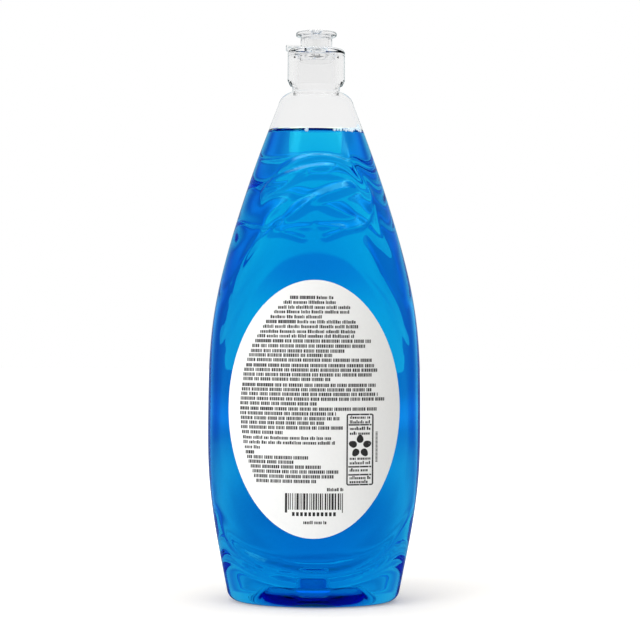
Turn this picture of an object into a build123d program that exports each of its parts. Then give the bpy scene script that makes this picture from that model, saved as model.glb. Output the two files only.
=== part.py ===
from build123d import *
import os

# A tall oval squeeze bottle of clear plastic, filled with clear blue dish soap.
# A thin oval label lies in a shallow arched panel on the front.
# The clear closure is a smooth collar with a spout that pulls up to open.
#
# The origin is the middle of the foot, on the surface that the bottle stands on.
# +Z is up, the label faces -Y and the thumb tab of the spout points to -X.
# All sizes are in millimetres. A rise is a height above the piece or level named before it.

os.makedirs("parts", exist_ok=True)

# Clearances between pieces that slide in each other, and between pieces that rest
running_gap = 0.3
seat_gap = 0.3

# Body of the bottle, as ovals from the foot up to the round throat
foot_width, foot_depth = 80.4, 56.0
heel_rise, heel_width, heel_depth = 12.0, 85.2, 60.4
hip_rise, hip_width, hip_depth = 19.0, 92.6, 63.6
waist_rise, waist_width = 29.0, 100.2
belly_rise, belly_width, belly_depth = 32.0, 101.4, 64.0
chest_rise, chest_width = 34.0, 98.8
flank_rise, flank_width = 32.0, 87.6
shoulder_rise, shoulder_width, shoulder_depth = 28.0, 71.8, 58.0
collarbone_rise, collarbone_width, collarbone_depth = 26.0, 54.4, 47.6
throat_rise, throat_width = 24.2, 36.2
heel_radius = 4.5
wall = 0.9

# Push-up under the foot, inside the flat ring, with the small boss left by the blow pin
foot_ring_width = 4.5
push_up_height, push_up_slope = 8.0, 11.0
boss_radius, boss_drop = 7.6, 3.0

# Dome, neck and handling bead above the throat
dome_side_radius, dome_side_rise = 16.7, 3.3
dome_top_radius, dome_top_rise = 13.8, 5.7
neck_root_rise = 6.7
neck_wall, neck_bore_radius = 1.65, 9.2
bead_overhang, bead_rise, bead_thickness, bead_edge_radius = 0.55, 0.5, 1.9, 0.4
finish_height = 14.6

# Arched panels, on the front and the back, each part of an upright cylinder
panel_radius, panel_recess = 70.0, 0.5
panel_top_rise, panel_drop = 81.5, 72.7
panel_half_width, panel_side_rise = 50.0, 4.0
panel_brow_x, panel_brow_rise = 33.4, 52.1

# Raised ornament, as outlines on the front, each point given by x and its rise above the belly
relief = 0.5
crescent_tips = (-22.0, 105.4), (17.4, 113.8)
crescent_crown, crescent_hollow = (-1.0, 119.9), (0.0, 115.7)
leaf_tips = (-15.5, 88.2), (19.7, 105.0)
leaf_crown, leaf_keel = (-1.0, 102.2), (4.5, 94.8)
right_ribbon_tips = (16.9, 116.0), (44.5, 39.0)
right_ribbon_outside = (26.2, 99.8), (31.0, 83.5), (40.3, 62.8)
right_ribbon_inside = (32.7, 59.5), (24.6, 76.0), (24.5, 96.0)
left_ribbon_tips = (-20.5, 105.0), (-45.0, 39.0)
left_ribbon_outside = (-29.5, 88.0), (-39.5, 68.0)
left_ribbon_inside = (-35.9, 59.0), (-25.5, 76.0), (-20.5, 90.0)
smile_half_width, smile_tip_drop, smile_height, smile_lap = 45.5, 40.0, 4.6, 1.5

# Label, centred just above the widest part of the belly
label_width, label_height, label_thickness = 80.0, 119.4, 0.12
label_rise = 0.7

# Air above the soap, below the throat
headspace_drop = 11.2

# Collar of the closure, above the handling bead
collar_gap, collar_wall, thread_space = 0.5, 1.45, 1.35
collar_top_thickness, collar_corner_radius = 2.8, 2.2
lip_height, lip_inset, lip_wall = 2.4, 1.1, 0.75
plug_length, plug_wall = 2.9, 0.9
notch_width, notch_depth, notch_corner_radius = 9.0, 1.5, 1.0

# Turret on the collar that the spout slides on, with the post that seals it
turret_radius, turret_wall = 5.9, 1.1
turret_bead, turret_bead_height = 0.5, 0.5
post_radius, post_tip_radius = 1.9, 0.6
spoke_count, spoke_width, spoke_height = 3, 1.4, 1.6

# Spout that pulls up, with its thumb tab
spout_height, spout_wall = 8.0, 0.8
flange_overhang, flange_thickness, flange_edge_radius = 2.2, 2.0, 0.8
spout_foot_overhang, spout_foot_height = 0.6, 0.5
tab_width, tab_thickness, tab_rise = 7.0, 0.8, 0.8
tab_lip_thickness, tab_lip_drop = 0.6, 1.5
rib_width, rib_length = 1.2, 3.6

# Levels that follow from the sizes above
belly_height = heel_rise + hip_rise + waist_rise + belly_rise
flank_height = belly_height + chest_rise + flank_rise
throat_height = flank_height + shoulder_rise + collarbone_rise + throat_rise
bead_top = throat_height + neck_root_rise + bead_rise + bead_thickness
neck_top = bead_top + finish_height
collar_bottom = bead_top + collar_gap
collar_underside = neck_top + seat_gap
collar_top = collar_underside + collar_top_thickness
spout_bottom = collar_top + seat_gap
spout_top = spout_bottom + spout_height
spout_underside = spout_top - flange_thickness
turret_top = spout_underside - seat_gap

# Radii that follow
neck_radius = neck_bore_radius + neck_wall
collar_bore = neck_radius + thread_space
collar_radius = collar_bore + collar_wall
lip_radius = collar_radius - lip_inset
lip_bore = lip_radius - lip_wall
plug_radius = neck_bore_radius - running_gap
turret_bore = turret_radius - turret_wall
spout_bore = turret_radius + turret_bead + running_gap
spout_radius = spout_bore + spout_wall
spout_foot_bore = turret_radius + running_gap
spout_foot_radius = spout_radius + spout_foot_overhang
flange_radius = spout_radius + flange_overhang
orifice_radius = post_radius + running_gap

body_ovals = [
    (0, foot_width, foot_depth),
    (heel_rise, heel_width, heel_depth),
    (heel_rise + hip_rise, hip_width, hip_depth),
    (belly_height - belly_rise, waist_width, belly_depth),
    (belly_height, belly_width, belly_depth),
    (belly_height + chest_rise, chest_width, belly_depth),
    (flank_height, flank_width, belly_depth),
    (flank_height + shoulder_rise, shoulder_width, shoulder_depth),
    (throat_height - throat_rise, collarbone_width, collarbone_depth),
    (throat_height, throat_width, throat_width),
]

# The front seen from -Y, with its origin at the height of the belly
front = Plane(origin=(0, 0, belly_height), x_dir=(1, 0, 0), z_dir=(0, -1, 0))
panel_centre = panel_radius + panel_recess - belly_depth / 2


def panel_cut(depth_below_surface):
    """Return what the two panels take off the body, or off a skin below its surface."""
    right_side = (panel_half_width, panel_side_rise)
    left_side = (-panel_half_width, panel_side_rise)
    apex = (0, panel_top_rise)
    with BuildPart() as cut:
        with BuildSketch(front):
            with BuildLine():
                ThreePointArc(right_side, (panel_brow_x, panel_brow_rise), apex)
                ThreePointArc(apex, (-panel_brow_x, panel_brow_rise), left_side)
                ThreePointArc(left_side, (0, -panel_drop), right_side)
            make_face()
            if depth_below_surface > 0:
                offset(amount=depth_below_surface)
        extrude(amount=belly_depth)
        with Locations((0, panel_centre, belly_height)):
            panel_reach = 2 * (panel_top_rise + panel_drop)
            Cylinder(panel_radius - depth_below_surface, panel_reach, mode=Mode.SUBTRACT)
        mirror(about=Plane.XZ)
    return cut.part


def push_up(depth_below_surface):
    """Return the hollow under the foot, or the hump that a skin above it has."""
    inset = heel_radius + foot_ring_width - depth_below_surface
    with BuildPart() as hollow:
        with BuildSketch(Plane.XY):
            Ellipse(foot_width / 2 - inset, foot_depth / 2 - inset)
        with BuildSketch(Plane.XY.offset(push_up_height + depth_below_surface)):
            top_inset = inset + push_up_slope
            Ellipse(foot_width / 2 - top_inset, foot_depth / 2 - top_inset)
        loft()
    return hollow.part


# Ornament: a skin raised over the whole body, kept only inside the outlines on the front
with BuildPart() as ornament:
    for height, width, depth in body_ovals:
        with BuildSketch(Plane.XY.offset(height)):
            Ellipse(width / 2 + relief, depth / 2 + relief)
    loft()
    with BuildSketch(front):
        with BuildLine():
            ThreePointArc(crescent_tips[0], crescent_crown, crescent_tips[1])
            ThreePointArc(crescent_tips[1], crescent_hollow, crescent_tips[0])
        make_face()
        with BuildLine():
            ThreePointArc(leaf_tips[0], leaf_crown, leaf_tips[1])
            ThreePointArc(leaf_tips[1], leaf_keel, leaf_tips[0])
        make_face()
        with BuildLine():
            Spline(right_ribbon_tips[0], *right_ribbon_outside, right_ribbon_tips[1])
            Spline(right_ribbon_tips[1], *right_ribbon_inside, right_ribbon_tips[0])
        make_face()
        with BuildLine():
            Spline(left_ribbon_tips[0], *left_ribbon_outside, left_ribbon_tips[1])
            Spline(left_ribbon_tips[1], *left_ribbon_inside, left_ribbon_tips[0])
        make_face()
        with BuildLine():
            smile_left = (-smile_half_width, -smile_tip_drop)
            smile_right = (smile_half_width, -smile_tip_drop)
            ThreePointArc(smile_left, (0, -panel_drop + smile_lap), smile_right)
            ThreePointArc(smile_right, (0, -panel_drop - smile_height), smile_left)
        make_face()
    extrude(amount=belly_depth, mode=Mode.INTERSECT)

# Cavity: what the blown wall leaves free inside the body
with BuildPart() as cavity:
    for height, width, depth in body_ovals:
        with BuildSketch(Plane.XY.offset(max(height, wall))):
            Ellipse(width / 2 - wall, depth / 2 - wall)
    loft()
    fillet(cavity.edges().sort_by(Axis.Z)[0], heel_radius - wall)
    add(panel_cut(wall), mode=Mode.SUBTRACT)
    add(push_up(wall), mode=Mode.SUBTRACT)

# Bottle: the lofted body with its ornament, panels and push-up, then dome and neck
with BuildPart() as bottle:
    for height, width, depth in body_ovals:
        with BuildSketch(Plane.XY.offset(height)):
            Ellipse(width / 2, depth / 2)
    loft()
    fillet(bottle.edges().sort_by(Axis.Z)[0], heel_radius)
    add(ornament.part)
    add(ornament.part, rotation=(0, 0, 180))
    add(panel_cut(0), mode=Mode.SUBTRACT)
    add(push_up(0), mode=Mode.SUBTRACT)
    with BuildSketch(Plane.XY.offset(push_up_height - boss_drop)):
        Circle(boss_radius)
    extrude(amount=boss_drop + wall / 2)
    throat = Plane(origin=(0, 0, throat_height), x_dir=(1, 0, 0), z_dir=(0, -1, 0))
    with BuildSketch(throat):
        neck_length = neck_top - throat_height
        with BuildLine():
            Line((0, 0), (throat_width / 2, 0))
            Spline(
                (throat_width / 2, 0),
                (dome_side_radius, dome_side_rise),
                (dome_top_radius, dome_top_rise),
                (neck_radius, neck_root_rise),
            )
            Line((neck_radius, neck_root_rise), (neck_radius, neck_length))
            Polyline((neck_radius, neck_length), (0, neck_length), (0, 0))
        make_face()
    revolve(axis=Axis.Z)
    with BuildSketch(Plane.XY.offset(bead_top - bead_thickness)):
        Circle(neck_radius + bead_overhang)
    bead = extrude(amount=bead_thickness)
    fillet(bead.edges().filter_by(GeomType.CIRCLE).group_by(SortBy.RADIUS)[-1], bead_edge_radius)
    add(cavity.part, mode=Mode.SUBTRACT)
    with BuildSketch(throat):
        with BuildLine():
            Line((0, 0), (throat_width / 2 - wall, 0))
            Spline(
                (throat_width / 2 - wall, 0),
                (dome_side_radius - wall, dome_side_rise - wall / 2),
                (dome_top_radius - wall, dome_top_rise - wall),
                (neck_bore_radius, neck_root_rise),
            )
            Line((neck_bore_radius, neck_root_rise), (neck_bore_radius, neck_length))
            Polyline((neck_bore_radius, neck_length), (0, neck_length), (0, 0))
        make_face()
    revolve(axis=Axis.Z, mode=Mode.SUBTRACT)
bottle.part.label = "bottle"
export_step(bottle.part, "parts/bottle.step")

# Soap: fills the cavity up to its level
with BuildPart() as soap:
    add(cavity.part)
    split(bisect_by=Plane.XY.offset(throat_height - headspace_drop), keep=Keep.BOTTOM)
soap.part.label = "dish_soap"
export_step(soap.part, "parts/dish_soap.step")

# Label: an oval of film wrapped on the cylinder of the front panel
with BuildPart() as label:
    with BuildSketch(front):
        with Locations((0, label_rise)):
            Ellipse(label_width / 2, label_height / 2)
    extrude(amount=belly_depth)
    with Locations((0, panel_centre, belly_height + label_rise)):
        Cylinder(panel_radius + label_thickness, 2 * label_height, mode=Mode.INTERSECT)
        Cylinder(panel_radius, 2 * label_height, mode=Mode.SUBTRACT)
label.part.label = "label"
export_step(label.part, "parts/label.step")

# Closure: collar, plug ring and turret are one moulding, with a post held by spokes
with BuildPart() as closure:
    skirt_bottom = collar_bottom + lip_height
    corner_bottom = (collar_radius, collar_top - collar_corner_radius)
    corner_top = (collar_radius - collar_corner_radius, collar_top)
    bead_bottom = turret_top - turret_bead_height
    plug_bottom = collar_underside - plug_length
    with BuildSketch(Plane.XZ):
        with BuildLine():
            Polyline(
                (lip_bore, collar_bottom),
                (lip_radius, collar_bottom),
                (collar_radius, skirt_bottom),
                corner_bottom,
            )
            RadiusArc(corner_bottom, corner_top, -collar_corner_radius)
            Polyline(
                corner_top,
                (turret_radius, collar_top),
                (turret_radius, bead_bottom),
                (turret_radius + turret_bead, bead_bottom),
                (turret_radius + turret_bead / 2, turret_top),
                (turret_bore, turret_top),
                (turret_bore, collar_underside),
                (plug_radius - plug_wall, collar_underside),
                (plug_radius - plug_wall, plug_bottom),
                (plug_radius - plug_wall / 2, plug_bottom),
                (plug_radius, plug_bottom + plug_length / 2),
                (plug_radius, collar_underside),
                (collar_bore, collar_underside),
                (collar_bore, skirt_bottom),
                (lip_bore, collar_bottom),
            )
        make_face()
    revolve(axis=Axis.Z)
    with BuildSketch(Plane.XY.offset(collar_underside)):
        with PolarLocations(turret_bore / 2, spoke_count):
            Rectangle(turret_bore + turret_wall / 2, spoke_width)
    extrude(amount=spoke_height)
    with BuildSketch(Plane.XY.offset(collar_underside)):
        Circle(post_radius)
    extrude(amount=spout_top - collar_underside)
    fillet(closure.edges().sort_by(Axis.Z)[-1], post_tip_radius)
    notch_start = spout_foot_radius + running_gap
    notch_floor = collar_top - notch_depth
    with BuildSketch(Plane.XY.offset(notch_floor)):
        with Locations((-notch_start - collar_radius / 2, 0)):
            RectangleRounded(collar_radius, notch_width, notch_corner_radius)
    extrude(amount=notch_depth, mode=Mode.SUBTRACT)
closure.part.label = "closure"
export_step(closure.part, "parts/closure.step")

# Spout: slides on the turret, where its foot catches the bead when it is open
with BuildPart() as spout:
    foot_top = spout_bottom + spout_foot_height
    with BuildSketch(Plane.XZ):
        with BuildLine():
            Polyline(
                (spout_foot_bore, spout_bottom),
                (spout_foot_radius, spout_bottom),
                (spout_foot_radius, foot_top),
                (spout_radius, foot_top),
                (spout_radius, spout_underside),
                (flange_radius, spout_underside),
                (flange_radius, spout_top),
                (orifice_radius, spout_top),
                (orifice_radius, spout_underside),
                (spout_bore, spout_underside),
                (spout_bore, foot_top),
                (spout_foot_bore, foot_top),
                close=True,
            )
        make_face()
        fillet(vertices().sort_by(Axis.X)[-2:], flange_edge_radius)
    revolve(axis=Axis.Z)
    tab_bottom = spout_bottom + tab_rise
    tab_lip_bore = collar_radius + running_gap
    tab_reach = tab_lip_bore + tab_lip_thickness
    with BuildSketch(Plane.XY.offset(tab_bottom)):
        with Locations((-tab_reach / 2, 0)):
            Rectangle(tab_reach, tab_width)
        Circle(tab_reach, mode=Mode.INTERSECT)
        Circle(spout_bore + spout_wall / 2, mode=Mode.SUBTRACT)
    extrude(amount=tab_thickness)
    with BuildSketch(Plane.XY.offset(tab_bottom - tab_lip_drop)):
        with Locations((-tab_reach / 2, 0)):
            Rectangle(tab_reach, tab_width)
        Circle(tab_reach, mode=Mode.INTERSECT)
        Circle(tab_lip_bore, mode=Mode.SUBTRACT)
    extrude(amount=tab_lip_drop)
    rib_start = -notch_start - running_gap
    rib_drop = tab_bottom - notch_floor - running_gap
    with BuildSketch(Plane(origin=(0, 0, tab_bottom), x_dir=(1, 0, 0), z_dir=(0, -1, 0))):
        with BuildLine():
            Polyline(
                (rib_start, 0),
                (rib_start, -rib_drop),
                (rib_start - rib_length / 2, -rib_drop),
                (rib_start - rib_length, 0),
                close=True,
            )
        make_face()
    extrude(amount=rib_width / 2, both=True)
spout.part.label = "pull_spout"
export_step(spout.part, "parts/pull_spout.step")
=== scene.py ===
import math
import random

import bmesh
import bpy
import numpy as np
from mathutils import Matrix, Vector


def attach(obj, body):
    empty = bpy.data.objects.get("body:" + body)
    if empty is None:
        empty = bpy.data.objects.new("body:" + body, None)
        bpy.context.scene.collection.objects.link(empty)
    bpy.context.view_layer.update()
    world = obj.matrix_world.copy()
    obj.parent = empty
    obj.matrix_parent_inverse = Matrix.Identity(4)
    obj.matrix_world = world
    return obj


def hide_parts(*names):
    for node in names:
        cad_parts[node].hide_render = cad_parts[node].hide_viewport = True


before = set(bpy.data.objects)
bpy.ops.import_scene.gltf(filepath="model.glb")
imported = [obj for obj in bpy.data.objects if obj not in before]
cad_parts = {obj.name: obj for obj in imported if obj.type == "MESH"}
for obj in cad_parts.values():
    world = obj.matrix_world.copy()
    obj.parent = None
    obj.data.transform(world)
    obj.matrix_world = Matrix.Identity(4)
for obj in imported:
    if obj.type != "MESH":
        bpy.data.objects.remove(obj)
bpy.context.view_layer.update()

# Bottle. The real piece is blow-moulded from a PET preform, so its wall is clear, thin and glossy, its
# ornament is a set of soft folds that shows on the inside too, and the foot is pushed up around the gate.
# Sizes are in millimetres, with z above the foot.
MM = 0.001
WALL = 0.9
# Height, width and depth of the ovals that the body runs through, from the foot to the throat
BODY_OVALS = np.array([
    (0, 80.4, 56), (12, 85.2, 60.4), (31, 92.6, 63.6), (60, 100.2, 64), (92, 101.4, 64),
    (126, 98.8, 64), (158, 87.6, 64), (186, 71.8, 58), (212, 54.4, 47.6), (236.2, 36.2, 36.2),
])
THROAT_Z = BODY_OVALS[-1, 0]
HEEL_RADIUS = 4.5
SOAP_LEVEL = 223.6
# The label's panel is part of an upright cylinder, let into the front of the belly
BELLY_DEPTH = 64
PANEL_RADIUS = 70.0
PANEL_RECESS = 0.5
PANEL_AXIS_Y = PANEL_RADIUS + PANEL_RECESS - BELLY_DEPTH / 2
# Points in a ring round the body
COLUMNS = 200


def smooth_through(knots, values, places):
    """Return what a natural cubic spline through the values has at the places."""
    count = len(knots)
    step = np.diff(knots)
    system = np.eye(count)
    right = np.zeros(count)
    for i in range(1, count - 1):
        system[i, i - 1:i + 2] = step[i - 1], 2 * (step[i - 1] + step[i]), step[i]
        right[i] = 6 * ((values[i + 1] - values[i]) / step[i] - (values[i] - values[i - 1]) / step[i - 1])
    bend = np.linalg.solve(system, right)
    i = np.clip(np.searchsorted(knots, places) - 1, 0, count - 2)
    p = (places - knots[i]) / step[i]
    straight = (1 - p) * values[i] + p * values[i + 1]
    return straight + step[i] ** 2 / 6 * (((1 - p) ** 3 - (1 - p)) * bend[i] + (p ** 3 - p) * bend[i + 1])


def curve_through(points, pieces=10):
    """Return many points on a smooth line through a few (x, z) points."""
    points = np.array(points, float)
    run = np.concatenate([[0], np.cumsum(np.linalg.norm(np.diff(points, axis=0), axis=1))])
    places = np.linspace(0, run[-1], pieces * (len(points) - 1) + 1)
    return np.stack([smooth_through(run, points[:, k], places) for k in (0, 1)], axis=1)


def distance_to(line, x, z):
    """Return, for many places, the distance to the line, the share along it and the side it is on."""
    best = np.full(x.shape, 1e9)
    share = np.zeros(x.shape)
    side = np.ones(x.shape)
    for i in range(len(line) - 1):
        a, d = line[i], line[i + 1] - line[i]
        t = np.clip(((x - a[0]) * d[0] + (z - a[1]) * d[1]) / max(d @ d, 1e-9), 0, 1)
        dx, dz = x - a[0] - t * d[0], z - a[1] - t * d[1]
        gap = np.hypot(dx, dz)
        nearer = gap < best
        best = np.where(nearer, gap, best)
        share = np.where(nearer, (i + t) / (len(line) - 1), share)
        side = np.where(nearer, np.sign(d[0] * dz - d[1] * dx), side)
    return best, share, side


def inside_depth(outline, x, z):
    """Return how deep places lie inside a closed outline, negative outside it."""
    closed = np.vstack([outline, outline[:1]])
    gap, _, _ = distance_to(closed, x, z)
    crossings = np.zeros(x.shape, int)
    for (ax, az), (bx, bz) in zip(closed[:-1], closed[1:]):
        spans = (az > z) != (bz > z)
        if bz != az:
            crossings += spans & (x < ax + (z - az) * (bx - ax) / (bz - az))
    return np.where(crossings % 2 == 1, gap, -gap)


def ease(value, low, high):
    """Return 0 below low, 1 above high and a soft step between them."""
    p = np.clip((value - low) / (high - low), 0, 1)
    return p * p * (3 - 2 * p)


# The folds, each with its line, its rise, and how far it falls off to its left and to its right
FOLDS = [
    # Two under the crescent
    ([(-25.5, 189), (-24.6, 193), (-21.6, 197), (-12.7, 202), (-3, 204.6), (11.8, 206.2)], 0.9, 1.1, 3.4),
    ([(-26, 186), (-23.4, 190.9), (-15.5, 195.1), (-7.2, 200.7), (-1.6, 203.2)], 0.7, 2.6, 1.2),
    # Round the end of the leaf
    ([(19.9, 198.3), (23.9, 195.1), (25.3, 189.1), (25.3, 182.8), (22.5, 177.9), (17.4, 176.1),
      (10.4, 174), (2.1, 171.5)], 0.9, 1.1, 3.2),
    # Right ribbon, outside and inside
    ([(16.5, 218.7), (15.6, 211.5), (17.4, 205.3), (23.4, 197), (26.2, 191.8), (28, 183.5), (30.1, 176.6),
      (35, 167.7), (40.3, 154.8), (44.3, 135.8), (45.5, 120)], 1.0, 3.8, 2.0),
    ([(22.4, 176), (23.9, 170), (27.6, 161.3), (32.7, 151.5), (37.8, 142.7), (41.7, 132.5), (44, 120)],
     0.8, 1.6, 3.4),
    # Left ribbon, outside, inside and between
    ([(-8, 191), (-20.2, 183.5), (-24.8, 175.2), (-30.4, 166.4), (-35.9, 158.9), (-41.3, 146),
      (-43.8, 133.9), (-45, 120)], 1.0, 1.8, 4.0),
    ([(-8, 184), (-15.3, 178.7), (-24.6, 171), (-32.4, 160.9), (-38, 147.2), (-41.5, 132), (-43, 118)],
     0.8, 3.2, 1.7),
    ([(-22, 178), (-33, 160), (-39.8, 140)], 0.6, 1.4, 2.4),
    # Tongue under the leaf
    ([(-2, 178.5), (5, 177.4), (12.8, 176.4), (7.8, 172.8), (0, 170)], 0.6, 1.0, 1.8),
    # Smile over the foot, a short fold inside it and a second smile below
    ([(-46, 44), (-37, 28.8), (-27.7, 23.4), (-18.5, 20.6), (-7.6, 18.4), (3.2, 17.6), (14.8, 18.9),
      (26.4, 23.4), (34.1, 28.8), (41.8, 39.6), (46.5, 56)], 1.8, 1.1, 2.6),
    ([(-40, 36), (-39.3, 31.1), (-33.1, 24.2), (-24.6, 19.6), (-14.6, 15.6)], 1.0, 2.0, 1.1),
    ([(-43, 36), (-35, 22.4), (-24, 16.2), (-12, 13.2), (0, 12.4), (12, 13.4), (24, 16.6), (35, 23.2),
      (43, 38)], 1.0, 1.2, 1.8),
]
# Outlines of the raised crescent and leaf, and of the label's panel, as (x, z)
CRESCENT = np.vstack([
    curve_through([(-22, 197.4), (-16.9, 204.6), (-10, 209.7), (0.2, 211.8), (9, 210.9), (16, 208.3)]),
    curve_through([(17.4, 205.8), (10.4, 207.6), (2.1, 208.3), (-10, 204.6), (-18.3, 200.7), (-21.6, 197)]),
])
LEAF = curve_through([
    (-15.5, 180.7), (-12.7, 185.4), (-6.7, 190.5), (0.9, 195.1), (8.6, 198.1), (16, 198.8), (19.7, 195.1),
    (16, 191.9), (9, 189.1), (2.1, 186.3), (-6.7, 180.7), (-12.7, 179.1), (-15.5, 180.7),
])


def through_three(first, middle, last, pieces=40):
    """Return points on the circle arc through three points."""
    (ax, az), (bx, bz), (cx, cz) = first, middle, last
    d = 2 * (ax * (bz - cz) + bx * (cz - az) + cx * (az - bz))
    a2, b2, c2 = ax * ax + az * az, bx * bx + bz * bz, cx * cx + cz * cz
    centre = np.array([(a2 * (bz - cz) + b2 * (cz - az) + c2 * (az - bz)) / d,
                       (a2 * (cx - bx) + b2 * (ax - cx) + c2 * (bx - ax)) / d])
    radius = np.hypot(ax - centre[0], az - centre[1])
    start = math.atan2(az - centre[1], ax - centre[0])
    turn = (math.atan2(cz - centre[1], cx - centre[0]) - start) % (2 * math.pi)
    if (math.atan2(bz - centre[1], bx - centre[0]) - start) % (2 * math.pi) > turn:
        turn -= 2 * math.pi
    angles = start + turn * np.linspace(0, 1, pieces)
    return centre + radius * np.stack([np.cos(angles), np.sin(angles)], axis=1)


PANEL = np.vstack([
    through_three((50, 96), (33.4, 144.1), (0, 173.5))[:-1],
    through_three((0, 173.5), (-33.4, 144.1), (-50, 96))[:-1],
    through_three((-50, 96), (0, 19.3), (50, 96))[:-1],
])

CRESCENT_RISE = 0.8
LEAF_RISE = 1.1
# The crest of a fold is sharp at 1 and fully round at 2
FOLD_CREST = 1.6
# How much more the upper swirls stand out than the folds below them
SWIRL_LIFT = 0.6
# What is left of the relief on the inside of the wall, and what it loses by the sides
INSIDE_SHARE = 0.8
SIDE_LOSS = 0.8


def front_relief(x, z):
    """Return how far the front stands out, and how fully it belongs to the label panel."""
    panel = ease(inside_depth(PANEL, x, z), -0.2, 1.1)
    rise = CRESCENT_RISE * ease(inside_depth(CRESCENT, x, z), -0.4, 2.2)
    rise += LEAF_RISE * ease(inside_depth(LEAF, x, z), -0.4, 5.0)
    for points, height, left, right in FOLDS:
        gap, share, side = distance_to(curve_through(points), x, z)
        reach = np.where(side > 0, left, right)
        fade = ease(share, 0, 0.22) * (1 - ease(share, 0.8, 1))
        rise += height * np.exp(-(gap / reach) ** FOLD_CREST) * fade
    return rise * (1 - panel) * (1 + SWIRL_LIFT * ease(z, 172, 188)), panel


def half_axes(z):
    """Return half the body's width and half its depth, each at many heights."""
    heights, widths, depths = BODY_OVALS.T
    return smooth_through(heights, widths / 2, z), smooth_through(heights, depths / 2, z)


def body_rows(heights, skin, columns=COLUMNS):
    """Return rings of points round the body, skin millimetres inside its outer surface."""
    turn = np.linspace(0, 2 * math.pi, columns, endpoint=False)
    t, z = np.meshgrid(turn, heights)
    half_width, half_depth = half_axes(z)
    heel = np.clip(HEEL_RADIUS - z, 0, HEEL_RADIUS)
    inset = HEEL_RADIUS - np.sqrt(HEEL_RADIUS ** 2 - heel ** 2)
    x = (half_width - inset) * np.cos(t)
    y = (half_depth - inset) * np.sin(t)
    out_x, out_y = np.cos(t) / half_width, np.sin(t) / half_depth
    length = np.hypot(out_x, out_y)
    out_x, out_y = out_x / length, out_y / length
    # The back has the front's relief, turned half round the bottle
    rise, panel = front_relief(np.where(y < 0, x, -x), z)
    if skin > 0:
        rise = rise * INSIDE_SHARE
    rise = rise * (1 - SIDE_LOSS * ease(np.abs(np.cos(t)), 0.6, 0.97))
    panel_y = np.sqrt(np.maximum(PANEL_RADIUS ** 2 - x ** 2, 0)) - PANEL_AXIS_Y
    cut = panel * np.maximum(np.abs(y) - panel_y, 0)
    x = x + out_x * (rise - skin)
    y = y + out_y * (rise - skin) - np.sign(y) * cut
    return np.stack([x, y, z], axis=2)


def round_rows(profile):
    """Return rings of points for the round parts, from (radius, z) pairs."""
    turn = np.linspace(0, 2 * math.pi, COLUMNS, endpoint=False)
    return np.array([[(r * math.cos(t), r * math.sin(t), z) for t in turn] for r, z in profile])


FOOT_HALF_WIDTH, FOOT_HALF_DEPTH = BODY_OVALS[0, 1:] / 2
EVEN_INSET = 20


def foot_rows(insets_and_heights):
    """Return oval rings in the foot, from (distance inside its outline, z) pairs.

    Up to the even inset a ring runs beside the outline, and further in it is a smaller copy of it.
    """
    turn = np.linspace(0, 2 * math.pi, COLUMNS, endpoint=False)
    rings = []
    for inset, z in insets_and_heights:
        w = FOOT_HALF_WIDTH - inset
        d = FOOT_HALF_DEPTH - inset * (FOOT_HALF_DEPTH / FOOT_HALF_WIDTH if inset > EVEN_INSET else 1)
        rings.append([(w * math.cos(t), d * math.sin(t), z) for t in turn])
    return np.array(rings)


def object_of(mesh):
    """Return an object that shows a mesh, under the mesh's name."""
    piece = bpy.data.objects.new(mesh.name, mesh)
    bpy.context.scene.collection.objects.link(piece)
    return piece


def sheet_of_rings(name, rings, body):
    """Make a closed mesh from rings of points, each as fine as the last, twice or half.

    Return its object, which rides on the body, and the row that each face is in.
    """
    points = [point for ring in rings for point in (ring * MM).tolist()]
    starts = np.concatenate([[0], np.cumsum([len(ring) for ring in rings])])
    faces, rows = [], []
    for r in range(len(rings) - 1):
        fine, coarse = len(rings[r + 1]), len(rings[r])
        a, b = int(starts[r]), int(starts[r + 1])
        for c in range(min(fine, coarse)):
            if fine == coarse:
                n = (c + 1) % fine
                faces.append((a + c, a + n, b + n, b + c))
            elif fine > coarse:
                n, m = (c + 1) % coarse, (2 * c + 2) % fine
                faces.append((a + c, a + n, b + m, b + 2 * c + 1, b + 2 * c))
            else:
                n, m = (c + 1) % fine, (2 * c + 2) % coarse
                faces.append((a + 2 * c, a + 2 * c + 1, a + m, b + n, b + c))
            rows.append(r)
    # A fan round its middle closes each end
    for ring, start, flip, row in ((rings[0], 0, False, 0), (rings[-1], int(starts[-2]), True, len(rings))):
        points.append((ring.mean(axis=0) * MM).tolist())
        for c in range(len(ring)):
            pair = (start + c, start + (c + 1) % len(ring))
            faces.append((len(points) - 1, *(pair if flip else pair[::-1])))
            rows.append(row)
    mesh = bpy.data.meshes.new(name)
    mesh.from_pydata(points, [], faces)
    mesh.polygons.foreach_set("use_smooth", [True] * len(mesh.polygons))
    piece = object_of(mesh)
    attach(piece, body)
    return piece, rows


# Heights of the rings, closest where the heel and the swirls turn
low_heights = np.concatenate([
    np.array([0, 0.12, 0.45, 1.0, 1.7, 2.6, 3.6]), np.arange(4.6, 56, 1.3), np.arange(57, 116, 3.4),
])
swirl_heights = np.concatenate([np.arange(117.5, 214, 0.75), np.linspace(214.8, THROAT_Z, 12)])
inner_heights = np.concatenate([
    np.array([1.0, 1.3, 2.0, 3.2]), np.arange(5, 60, 2.4), np.arange(62, 116, 5), np.arange(118, 214, 2.2),
    np.linspace(215, THROAT_Z, 8),
])

# Foot from below: the push-up inside its ring, and the boss that the blow pin leaves
under_foot = foot_rows([(20.5, 8.0), (19.6, 7.7), (14, 3.6), (9.6, 0.35), (9.0, 0.0), (5.2, 0.0)])
boss = round_rows([(0.8, 5.0), (7.0, 5.0), (7.5, 5.2), (7.6, 5.6), (7.7, 7.6), (8.3, 8.0)])
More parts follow.
